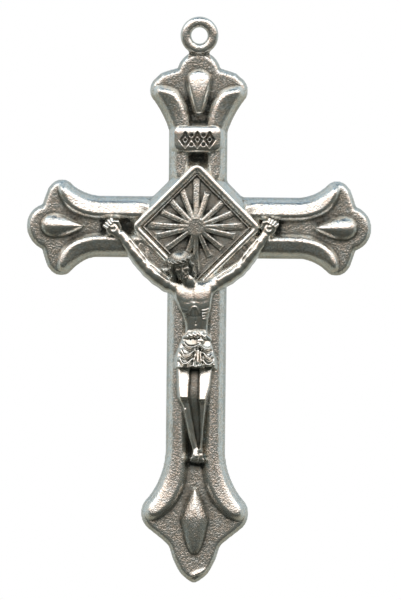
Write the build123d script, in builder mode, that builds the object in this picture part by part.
"""Cast crucifix pendant: flared cross, suspension eyelet, applied relief and a corpus held by three nails.

Millimetres. Origin at the centre of the eyelet bore, +Z up, the front of the cross faces -Y.
Heights named *_H are measured forward from the plane through the eyelet's middle.
"""
import os
from math import cos, radians, sin

from build123d import *

# overall layout
CROSS_Z = -19.17          # crossing centre below the eyelet
BACK_H = -0.8             # flat back of the casting
FACE_H = 0.1              # front face of the body, between the leaves and round the bosses
GROOVE_H = -0.1           # floor of the groove along the long arm
LEAF_H = 1.1              # crown of the leaves
WALL_DRAFT = 22.0         # casting draft of the side walls, degrees

# eyelet
BORE_R = 0.81
EYELET_R = 1.9
EYELET_THICKNESS = 1.6
EYELET_EDGE = 0.45
BORE_EDGE = 0.25
TENON_WIDTH = 1.9
TENON_END_Z = -2.7

# arms, measured from the crossing centre
SIDE_HALF = 3.09
TOP_HALF = 2.95
FOOT_HALF = 3.0
SIDE_LOBE_CENTRE = 15.2
TOP_LOBE_CENTRE = 15.55
LOBE_R = 2.2
TOP_LOBE_R = 2.1
LEFT_ARM_SHIFT = -0.3     # the left arm's end sits a little nearer the crossing than the right one's
DIAMOND_HALF_DIAGONAL = 7.53

# leaves
SIDE_GROOVE = 0.60
TOP_GROOVE = 0.70
FOOT_GROOVE = 0.70
SIDE_LEAF_OUTER = 2.70
TOP_LEAF_OUTER = 2.56
FOOT_LEAF_OUTER = 2.62
LEAF_DRAFT = 20.0

# bosses
BOSS_H = 1.2
BOSS_DRAFT = 25.0
SIDE_PETAL_TIP = 11.5
SIDE_PETAL_END = 16.1
SIDE_PETAL_HALF = 1.28
TOP_PETAL_TIP = 11.1
TOP_PETAL_END = 15.8
TOP_PETAL_HALF = 1.36
LOZENGE_TOP = 25.85
LOZENGE_WAIST = 29.2
LOZENGE_TIP = 32.85
LOZENGE_HALF = 1.45

# inscription plate, plain ornament instead of letters
PLATE_X = -0.1
PLATE_Z = -10.34
PLATE_WIDTH = 4.5
PLATE_HEIGHT = 2.66
PLATE_H = 1.75

# sunburst plaque
PLAQUE_HALF_DIAGONAL = 6.97
PLAQUE_INNER_HALF_DIAGONAL = 5.56
PLAQUE_CORNER_R = 1.1
PLAQUE_H = 1.65
PANEL_H = 1.0
RAY_H = 1.35
HUB_R = 1.0
RAY_WIDTH = 0.55
LONG_RAY = 4.9
DIAGONAL_RAY = 3.45
SHORT_RAY = 3.55

# corpus
SEAT_H = 1.15             # flat back of the figure
ARM_H = 1.55
HEAD_TILT = 12.5          # top of the head leans to the viewer's left, degrees

# nails
NAIL_R = 0.22
NAIL_CLEARANCE = 0.02
NAIL_HEAD_R = 0.42
NAIL_HEAD_THICKNESS = 0.25
LEFT_HAND = (-8.55, -19.25)
RIGHT_HAND = (7.25, -19.1)
FEET = (0.13, -42.05)
HAND_FRONT_H = 1.75
FEET_FRONT_H = 2.25


def front(height):
    """Sketch plane parallel to the cross face, looking at it from the front."""
    return Plane.XZ.offset(height)


def point(x, z, height):
    """World point given from the front: across, up and forward."""
    return Vector(x, -height, z)


def side_arm_outline(shift):
    """Outline of a side arm, drawn pointing up: straight shaft, swelling flare, round end lobe."""
    top = SIDE_LOBE_CENTRE + LOBE_R + shift
    cusp = (2.2, 15.7 + shift)
    with BuildSketch() as outline:
        with BuildLine():
            Line((0, 0), (SIDE_HALF, 0))
            Line((SIDE_HALF, 0), (SIDE_HALF, 10.2 + shift))
            ThreePointArc((SIDE_HALF, 10.2 + shift), (3.6, 11.95 + shift), (4.5, 13.1 + shift))
            ThreePointArc((4.5, 13.1 + shift), (4.72, 13.9 + shift), (4.15, 14.9 + shift))
            Line((4.15, 14.9 + shift), cusp)
            ThreePointArc(cusp, (1.5, SIDE_LOBE_CENTRE + 1.61 + shift), (0, top))
            mirror(about=Plane.YZ)
        make_face()
    return outline.sketch


def top_arm_outline():
    """Outline of the top arm: wider flare, larger lobe under the eyelet."""
    cusp = (2.15, 15.85)
    with BuildSketch() as outline:
        with BuildLine():
            Line((0, 0), (TOP_HALF, 0))
            Line((TOP_HALF, 0), (TOP_HALF, 9.6))
            ThreePointArc((TOP_HALF, 9.6), (3.62, 11.4), (4.75, 12.95))
            ThreePointArc((4.75, 12.95), (4.9, 13.9), (4.15, 14.95))
            Line((4.15, 14.95), cusp)
            ThreePointArc(cusp, (1.45, TOP_LOBE_CENTRE + 1.52), (0, TOP_LOBE_CENTRE + TOP_LOBE_R))
            mirror(about=Plane.YZ)
        make_face()
    return outline.sketch


def foot_arm_outline():
    """Outline of the long arm, drawn pointing up: shaft, wide flare, pointed end."""
    with BuildSketch() as outline:
        with BuildLine():
            Line((0, 0), (FOOT_HALF, 0))
            Line((FOOT_HALF, 0), (FOOT_HALF, 22.0))
            ThreePointArc((FOOT_HALF, 22.0), (3.45, 24.6), (4.67, 26.85))
            ThreePointArc((4.67, 26.85), (5.36, 28.75), (4.2, 30.6))
            Line((4.2, 30.6), (2.5, 31.73))
            ThreePointArc((2.5, 31.73), (1.95, 33.45), (0, 35.58))
            mirror(about=Plane.YZ)
        make_face()
    return outline.sketch


def side_leaf_outline(shift):
    """Leaf on the right-hand half of a side arm drawn pointing up, from the plaque to its rounded end."""
    inner, outer = SIDE_GROOVE, SIDE_LEAF_OUTER
    with BuildSketch() as outline:
        with BuildLine():
            Line((inner, PLAQUE_HALF_DIAGONAL - inner), (outer, PLAQUE_HALF_DIAGONAL - outer))
            Line((outer, PLAQUE_HALF_DIAGONAL - outer), (outer, 10.2 + shift))
            ThreePointArc((outer, 10.2 + shift), (3.15, 11.9 + shift), (4.2, 13.7 + shift))
            Line((4.2, 13.7 + shift), (3.95, 14.4 + shift))
            ThreePointArc((3.95, 14.4 + shift), (2.2, 13.7 + shift), (1.1, 12.3 + shift))
            ThreePointArc((1.1, 12.3 + shift), (0.78, 11.2 + shift), (inner, 10.0 + shift))
            Line((inner, 10.0 + shift), (inner, PLAQUE_HALF_DIAGONAL - inner))
        make_face()
    return outline.sketch


def top_leaf_outline():
    """Leaf on the right-hand half of the top arm."""
    inner, outer = TOP_GROOVE, TOP_LEAF_OUTER
    with BuildSketch() as outline:
        with BuildLine():
            Line((inner, PLAQUE_HALF_DIAGONAL - inner), (outer, PLAQUE_HALF_DIAGONAL - outer))
            Line((outer, PLAQUE_HALF_DIAGONAL - outer), (outer, 9.7))
            ThreePointArc((outer, 9.7), (3.05, 11.4), (4.4, 13.6))
            Line((4.4, 13.6), (4.15, 14.3))
            ThreePointArc((4.15, 14.3), (2.3, 13.6), (1.2, 12.2))
            Line((1.2, 12.2), (inner, 10.4))
            Line((inner, 10.4), (inner, PLAQUE_HALF_DIAGONAL - inner))
        make_face()
    return outline.sketch


def foot_leaf_outline():
    """One leaf right of the long arm, drawn pointing up."""
    inner, outer = FOOT_GROOVE, FOOT_LEAF_OUTER
    with BuildSketch() as outline:
        with BuildLine():
            Line((inner, PLAQUE_HALF_DIAGONAL - inner), (outer, PLAQUE_HALF_DIAGONAL - outer))
            Line((outer, PLAQUE_HALF_DIAGONAL - outer), (outer, 22.0))
            ThreePointArc((outer, 22.0), (3.05, 24.7), (4.8, 28.3))
            Line((4.8, 28.3), (4.65, 29.3))
            ThreePointArc((4.65, 29.3), (2.9, 28.7), (1.6, 27.1))
            Line((1.6, 27.1), (0.95, 25.6))
            Line((0.95, 25.6), (inner, 24.3))
            Line((inner, 24.3), (inner, PLAQUE_HALF_DIAGONAL - inner))
        make_face()
    return outline.sketch


def foot_groove_outline():
    """Sunk groove of the long arm, ending in a bracket-shaped step above the lozenge."""
    with BuildSketch() as outline:
        with BuildLine():
            Line((0, 6.0), (FOOT_GROOVE, 6.0))
            Line((FOOT_GROOVE, 6.0), (FOOT_GROOVE, 24.6))
            Line((FOOT_GROOVE, 24.6), (0.95, 25.75))
            Line((0.95, 25.75), (0.65, 25.8))
            ThreePointArc((0.65, 25.8), (0.35, 25.6), (0, 25.45))
            mirror(about=Plane.YZ)
        make_face()
    return outline.sketch


def teardrop_outline(shift):
    """Petal boss with its point toward the crossing."""
    half = SIDE_PETAL_HALF
    with BuildSketch() as outline:
        with BuildLine():
            ThreePointArc((0, SIDE_PETAL_TIP + shift), (0.75, 12.85 + shift), (half, 14.5 + shift))
            ThreePointArc((half, 14.5 + shift), (0.93, 15.65 + shift), (0, SIDE_PETAL_END + shift))
            mirror(about=Plane.YZ)
        make_face()
    return outline.sketch


def blunt_petal_outline():
    """Petal boss of the top arm: round above, narrow and blunt below."""
    half = TOP_PETAL_HALF
    with BuildSketch() as outline:
        with BuildLine():
            Line((0, TOP_PETAL_TIP), (0.5, TOP_PETAL_TIP))
            Line((0.5, TOP_PETAL_TIP), (half, 14.3))
            ThreePointArc((half, 14.3), (0.98, 15.37), (0, TOP_PETAL_END))
            mirror(about=Plane.YZ)
        make_face()
    return outline.sketch


def lozenge_outline():
    """Long lozenge boss of the foot, vertices softened."""
    with BuildSketch() as outline:
        with BuildLine():
            Polyline(
                (0, LOZENGE_TOP),
                (LOZENGE_HALF, LOZENGE_WAIST),
                (0, LOZENGE_TIP),
                (-LOZENGE_HALF, LOZENGE_WAIST),
                close=True,
            )
        make_face()
        fillet(outline.vertices(), radius=0.22)
    return outline.sketch


def spheroid(centre, radius, half_height, tilt=0.0):
    """Egg-like volume round an upright axis, leaned about the front-back axis."""
    with BuildPart() as egg:
        with BuildSketch(Plane.XZ):
            Ellipse(radius, half_height)
            with Locations((-radius, 0)):
                Rectangle(2 * radius, 4 * half_height, mode=Mode.SUBTRACT)
        revolve(axis=Axis.Z)
    return Pos(centre) * Rot(0, tilt, 0) * egg.part


left_arm = side_arm_outline(LEFT_ARM_SHIFT)
right_arm = side_arm_outline(0)
top_arm = top_arm_outline()
foot_arm = foot_arm_outline()
left_leaf = side_leaf_outline(LEFT_ARM_SHIFT)
right_leaf = side_leaf_outline(0)
top_leaf = top_leaf_outline()
foot_leaf = foot_leaf_outline()
foot_groove = foot_groove_outline()

UP = 0
LEFT = 90
DOWN = 180
RIGHT = -90

# ---------------------------------------------------------------- cross body
with BuildPart() as cross_body:
    for outline, direction in ((left_arm, LEFT), (right_arm, RIGHT), (top_arm, UP), (foot_arm, DOWN)):
        with BuildSketch(front(BACK_H)):
            with Locations((0, CROSS_Z)):
                add(outline, rotation=direction)
        extrude(amount=FACE_H - BACK_H, taper=WALL_DRAFT)
    with BuildSketch(front(BACK_H)):
        with Locations((0, CROSS_Z)):
            Rectangle(DIAMOND_HALF_DIAGONAL * 2**0.5, DIAMOND_HALF_DIAGONAL * 2**0.5, rotation=45)
    extrude(amount=FACE_H - BACK_H, taper=WALL_DRAFT)
    # webs in the two lower inner corners, behind the figure's arms
    with BuildSketch(front(BACK_H)):
        with BuildLine():
            Polyline((-2.4, -26.2), (-6.6, -22.25), (-6.6, -20.0), (6.0, -20.0), (6.0, -22.25), (2.4, -25.6), close=True)
        make_face()
    extrude(amount=FACE_H - BACK_H, taper=WALL_DRAFT)
    # groove along the long arm
    with BuildSketch(front(FACE_H)):
        with Locations((0, CROSS_Z)):
            add(foot_groove, rotation=DOWN)
    extrude(amount=GROOVE_H - FACE_H, mode=Mode.SUBTRACT)
    # holes for the nail shanks and the seat of the eyelet
    with BuildSketch(front(BACK_H)):
        with Locations(LEFT_HAND, RIGHT_HAND, FEET):
            Circle(NAIL_R + NAIL_CLEARANCE)
    extrude(amount=FACE_H - BACK_H, mode=Mode.SUBTRACT)
    with BuildSketch(front(BACK_H)):
        Circle(EYELET_R)
        Rectangle(TENON_WIDTH, -2 * TENON_END_Z)
    extrude(amount=EYELET_THICKNESS, mode=Mode.SUBTRACT)

# ---------------------------------------------------------------- eyelet
with BuildPart() as suspension_eyelet:
    with BuildSketch(front(-EYELET_THICKNESS / 2)):
        Circle(EYELET_R)
        Circle(BORE_R, mode=Mode.SUBTRACT)
    extrude(amount=EYELET_THICKNESS)
    rims = suspension_eyelet.edges().filter_by(GeomType.CIRCLE)
    fillet(rims.filter_by(lambda rim: rim.radius > 1.0), radius=EYELET_EDGE)
    bore_rims = suspension_eyelet.edges().filter_by(GeomType.CIRCLE).filter_by(lambda rim: rim.radius < 1.0)
    fillet(bore_rims, radius=BORE_EDGE)
    # tenon let into the top of the body
    with BuildSketch(front(BACK_H)):
        with Locations((0, (TENON_END_Z - 1.2) / 2)):
            Rectangle(TENON_WIDTH, -TENON_END_Z - 1.2)
    extrude(amount=FACE_H - BACK_H)


# ---------------------------------------------------------------- leaves
def raised(outline, direction, base, crown, draft):
    """Pad standing on the body with drafted sides."""
    with BuildPart() as pad:
        with BuildSketch(front(base)):
            with Locations((0, CROSS_Z)):
                add(outline, rotation=direction)
        extrude(amount=crown - base, taper=draft)
    return pad


def flipped(outline):
    """The same outline on the other side of its arm."""
    return mirror(outline, about=Plane.YZ)


top_leaf_right = raised(top_leaf, UP, FACE_H, LEAF_H, LEAF_DRAFT)
top_leaf_left = raised(flipped(top_leaf), UP, FACE_H, LEAF_H, LEAF_DRAFT)
left_leaf_upper = raised(left_leaf, LEFT, FACE_H, LEAF_H, LEAF_DRAFT)
left_leaf_lower = raised(flipped(left_leaf), LEFT, FACE_H, LEAF_H, LEAF_DRAFT)
right_leaf_lower = raised(right_leaf, RIGHT, FACE_H, LEAF_H, LEAF_DRAFT)
right_leaf_upper = raised(flipped(right_leaf), RIGHT, FACE_H, LEAF_H, LEAF_DRAFT)
foot_leaf_left = raised(foot_leaf, DOWN, FACE_H, LEAF_H, LEAF_DRAFT)
foot_leaf_right = raised(flipped(foot_leaf), DOWN, FACE_H, LEAF_H, LEAF_DRAFT)

# ---------------------------------------------------------------- bosses
left_petal = raised(teardrop_outline(LEFT_ARM_SHIFT), LEFT, FACE_H, BOSS_H, BOSS_DRAFT)
right_petal = raised(teardrop_outline(0), RIGHT, FACE_H, BOSS_H, BOSS_DRAFT)
top_petal = raised(blunt_petal_outline(), UP, FACE_H, BOSS_H, BOSS_DRAFT)
foot_lozenge = raised(lozenge_outline(), DOWN, FACE_H, BOSS_H, BOSS_DRAFT)

# ---------------------------------------------------------------- inscription plate
PLATE_BORDER = 0.32
PLATE_SINK = 0.2
ORNAMENT_PITCH = 0.78
with BuildPart() as titulus_plate:
    with BuildSketch(front(LEAF_H)):
        with Locations((PLATE_X, PLATE_Z)):
            RectangleRounded(PLATE_WIDTH, PLATE_HEIGHT, 0.45)
        for side in (-1, 1):
            with Locations((PLATE_X + side * (PLATE_WIDTH / 2 - 0.3), PLATE_Z + PLATE_HEIGHT / 2 - 0.33)):
                Circle(0.38)
    extrude(amount=PLATE_H - LEAF_H)
    with BuildSketch(front(PLATE_H)):
        with Locations((PLATE_X, PLATE_Z)):
            RectangleRounded(PLATE_WIDTH - 2 * PLATE_BORDER, PLATE_HEIGHT - 2 * PLATE_BORDER, 0.25)
    extrude(amount=-PLATE_SINK, mode=Mode.SUBTRACT)
    with BuildSketch(front(PLATE_H - PLATE_SINK)):
        with Locations((PLATE_X, PLATE_Z)):
            with GridLocations(2 * ORNAMENT_PITCH, 1, 3, 1):
                Rectangle(0.62, 0.62, rotation=45)
            with GridLocations(2 * ORNAMENT_PITCH, 1, 2, 1):
                Circle(0.22)
    extrude(amount=0.12)

# ---------------------------------------------------------------- sunburst plaque
with BuildPart() as plaque_frame:
    with BuildSketch(front(FACE_H)):
        with Locations((0, CROSS_Z)):
            side = PLAQUE_HALF_DIAGONAL * 2**0.5
            RectangleRounded(side, side, PLAQUE_CORNER_R, rotation=45)
            opening = PLAQUE_INNER_HALF_DIAGONAL * 2**0.5
            Rectangle(opening, opening, rotation=45, mode=Mode.SUBTRACT)
    extrude(amount=PLAQUE_H - FACE_H)
    chamfer(plaque_frame.faces().sort_by(Axis.Y)[0].edges(), length=0.25)

with BuildPart() as sunburst:
    with BuildSketch(front(FACE_H)):
        with Locations((0, CROSS_Z)):
            opening = PLAQUE_INNER_HALF_DIAGONAL * 2**0.5
            Rectangle(opening, opening, rotation=45)
    extrude(amount=PANEL_H - FACE_H)
    with BuildSketch(front(PANEL_H)):
        with Locations((0, CROSS_Z)):
            Circle(HUB_R)
            for length, count, first_angle in ((LONG_RAY, 4, 0), (DIAGONAL_RAY, 4, 45), (SHORT_RAY, 8, 22.5)):
                with PolarLocations(0, count, start_angle=first_angle):
                    Rectangle(length, RAY_WIDTH, align=(Align.MIN, Align.CENTER))
    extrude(amount=RAY_H - PANEL_H)

# ---------------------------------------------------------------- corpus
def limb(start, start_r, end, end_r):
    """Tapered limb with rounded joints between two world points."""
    along = Plane(origin=start, z_dir=end - start)
    shaft = along * Cone(start_r, end_r, (end - start).length, align=(Align.CENTER, Align.CENTER, Align.MIN))
    return shaft + Pos(start) * Sphere(start_r) + Pos(end) * Sphere(end_r)


# torso sections from the shoulders down: height, centre across, half-width, centre forward, half-depth
TORSO = (
    (-24.55, -0.50, 0.75, 2.00, 0.85),
    (-25.20, -0.40, 1.75, 1.95, 1.05),
    (-26.20, -0.35, 1.72, 2.00, 1.25),
    (-27.70, -0.17, 1.37, 1.95, 1.05),
    (-29.20, -0.05, 1.08, 1.90, 0.95),
)
LOINCLOTH = (
    (-28.95, 0.02, 1.18, 1.95, 1.05),
    (-31.00, 0.02, 1.60, 2.00, 1.30),
    (-32.90, -0.02, 1.85, 2.05, 1.20),
)

left_shoulder = point(-2.05, -25.0, ARM_H + 0.2)
left_elbow = point(-5.40, -23.10, ARM_H)
left_wrist = point(-7.60, -20.15, ARM_H - 0.2)
right_shoulder = point(1.25, -24.95, ARM_H + 0.2)
right_elbow = point(4.65, -22.80, ARM_H)
right_wrist = point(6.40, -20.10, ARM_H - 0.2)
left_hip = point(-1.05, -32.60, 2.05)
left_knee = point(-1.15, -36.20, 2.65)
left_ankle = point(-0.10, -41.30, 1.75)
right_hip = point(0.95, -32.60, 2.05)
right_knee = point(0.65, -36.35, 2.65)
right_ankle = point(0.25, -41.35, 1.70)
head_centre = point(-1.55, -23.45, 2.85)

arms = (
    limb(left_shoulder, 0.62, left_elbow, 0.46),
    limb(left_elbow, 0.46, left_wrist, 0.32),
    limb(left_wrist, 0.32, point(LEFT_HAND[0], LEFT_HAND[1], ARM_H - 0.25), 0.5),
    limb(right_shoulder, 0.62, right_elbow, 0.46),
    limb(right_elbow, 0.46, right_wrist, 0.32),
    limb(right_wrist, 0.32, point(RIGHT_HAND[0], RIGHT_HAND[1], ARM_H - 0.25), 0.5),
)
legs = (
    limb(left_hip, 0.78, left_knee, 0.52),
    limb(left_knee, 0.52, left_ankle, 0.32),
    limb(right_hip, 0.80, right_knee, 0.50),
    limb(right_knee, 0.50, right_ankle, 0.32),
    limb(left_ankle, 0.34, point(0.05, -42.35, 1.75), 0.38),
    limb(right_ankle, 0.34, point(0.42, -42.30, 1.60), 0.38),
)
# head bowed to the viewer's left: neck, hair, face, nose, beard, side locks
head = (
    limb(point(-0.50, -25.0, 2.2), 0.62, head_centre, 0.55),
    spheroid(head_centre, 1.22, 1.58, -HEAD_TILT),
    spheroid(point(-1.42, -23.75, 3.38), 0.80, 1.25, -HEAD_TILT),
    limb(point(-1.50, -23.20, 4.05), 0.10, point(-1.40, -23.85, 4.25), 0.17),
    spheroid(point(-1.18, -24.70, 3.55), 0.52, 0.62, -HEAD_TILT),
    spheroid(point(-2.45, -24.15, 2.75), 0.55, 1.30, -HEAD_TILT),
    spheroid(point(-0.45, -24.10, 2.75), 0.45, 1.15, -HEAD_TILT),
)
# folds of the cloth gathered at the hip
folds = (
    limb(point(-0.35, -29.75, 2.75), 0.42, point(0.55, -29.80, 2.75), 0.40),
    limb(point(-1.10, -30.2, 2.75), 0.30, point(1.15, -32.2, 2.85), 0.38),
    limb(point(-1.05, -31.55, 2.85), 0.30, point(0.3, -32.45, 2.95), 0.36),
)

with BuildPart() as corpus:
    for sections in (TORSO, LOINCLOTH):
        for height, across, half_width, forward, half_depth in sections:
            with BuildSketch(Plane.XY.offset(height)):
                with Locations((across, -forward)):
                    Ellipse(half_width, half_depth)
        loft()
    for group in (arms, legs, head, folds):
        for member in group:
            add(member)
    # solid skirt that a two-part mould leaves behind the arms
    with BuildSketch(front(FACE_H)):
        with BuildLine():
            Polyline((-2.0, -24.45), (-5.15, -22.8), (-7.35, -20.0), (-8.2, -18.9), (-8.9, -19.45), (-7.85, -20.4),
                     (-5.65, -23.45), (-2.0, -25.6), close=True)
        make_face()
        with BuildLine():
            Polyline((1.2, -24.4), (4.4, -22.5), (6.2, -19.9), (6.9, -18.75), (7.6, -19.3), (6.7, -20.4),
                     (4.9, -23.15), (1.2, -25.55), close=True)
        make_face()
    extrude(amount=ARM_H - FACE_H)
    # and the one behind the legs
    with BuildSketch(front(FACE_H)):
        with BuildLine():
            Polyline((-1.6, -32.5), (-1.5, -36.4), (-0.45, -41.2), (-0.4, -42.4), (0.3, -42.7), (0.75, -42.4),
                     (0.55, -41.2), (1.0, -36.4), (1.6, -32.5), close=True)
        make_face()
    extrude(amount=1.9 - FACE_H)
    # the figure is cut to sit on the relief beneath it
    with BuildSketch(front(-6)):
        with Locations((0, CROSS_Z)):
            Rectangle(60, 80)
    extrude(amount=6 + FACE_H, mode=Mode.SUBTRACT)
    for seat in (cross_body, plaque_frame, sunburst, foot_leaf_left, foot_leaf_right,
                 left_leaf_lower, left_leaf_upper, right_leaf_lower, right_leaf_upper):
        add(seat.part, mode=Mode.SUBTRACT)
    with BuildSketch(front(BACK_H)):
        with Locations(LEFT_HAND, RIGHT_HAND, FEET):
            Circle(NAIL_R + NAIL_CLEARANCE)
    extrude(amount=6, mode=Mode.SUBTRACT)

# ---------------------------------------------------------------- nails
def nail(across, up, seat):
    """Round nail, tail flush with the back of the cross, domed head on the figure."""
    with BuildPart() as pin:
        with BuildSketch(front(BACK_H)):
            with Locations((across, up)):
                Circle(NAIL_R)
        extrude(amount=seat - BACK_H)
        with BuildSketch(front(seat)):
            with Locations((across, up)):
                Circle(NAIL_HEAD_R)
        extrude(amount=NAIL_HEAD_THICKNESS, taper=25)
    return pin


left_hand_nail = nail(*LEFT_HAND, HAND_FRONT_H)
right_hand_nail = nail(*RIGHT_HAND, HAND_FRONT_H)
foot_nail = nail(*FEET, FEET_FRONT_H)

pieces = {
    "cross_body": cross_body,
    "suspension_eyelet": suspension_eyelet,
    "top_leaf_left": top_leaf_left,
    "top_leaf_right": top_leaf_right,
    "left_leaf_upper": left_leaf_upper,
    "left_leaf_lower": left_leaf_lower,
    "right_leaf_upper": right_leaf_upper,
    "right_leaf_lower": right_leaf_lower,
    "foot_leaf_left": foot_leaf_left,
    "foot_leaf_right": foot_leaf_right,
    "top_petal": top_petal,
    "left_petal": left_petal,
    "right_petal": right_petal,
    "foot_lozenge": foot_lozenge,
    "titulus_plate": titulus_plate,
    "plaque_frame": plaque_frame,
    "sunburst": sunburst,
    "corpus": corpus,
    "left_hand_nail": left_hand_nail,
    "right_hand_nail": right_hand_nail,
    "foot_nail": foot_nail,
}

os.makedirs("parts", exist_ok=True)
for name, piece in pieces.items():
    piece.part.label = name
    export_step(piece.part, f"parts/{name}.step")
    print(name, round(piece.part.volume, 3), len(piece.part.solids()), piece.part.is_valid)
